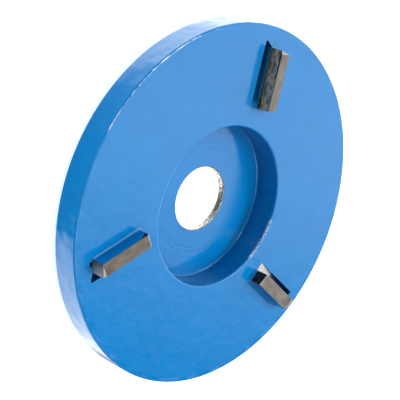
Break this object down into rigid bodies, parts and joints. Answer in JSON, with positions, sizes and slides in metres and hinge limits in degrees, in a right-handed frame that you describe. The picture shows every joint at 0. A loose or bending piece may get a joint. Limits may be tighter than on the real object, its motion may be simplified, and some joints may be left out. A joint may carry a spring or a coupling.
{
  "type": "angle grinder carving disc",
  "caption": "Round steel disc with a recessed centre bore and brazed carbide teeth on one face, for shaping wood on an angle grinder.",
  "frame": {"origin": "centre of the bore, on the hub's rear seat face", "axes": "+Z along the spindle axis towards the toothed face; +Y along the first tooth towards the rim; teeth cut turning counterclockwise about +Z"},
  "size_m": [0.09, 0.09, 0.0126],
  "materials": {
    "paint": "glossy baked enamel",
    "carbide": "ground",
    "braze": "as cast"
  },
  "bodies": {
    "root": {"disc_body": "paint", "carbide_tooth_1": "carbide", "carbide_tooth_2": "carbide", "carbide_tooth_3": "carbide", "braze_joint_1": "braze", "braze_joint_2": "braze", "braze_joint_3": "braze"}
  },
  "joints": []
}
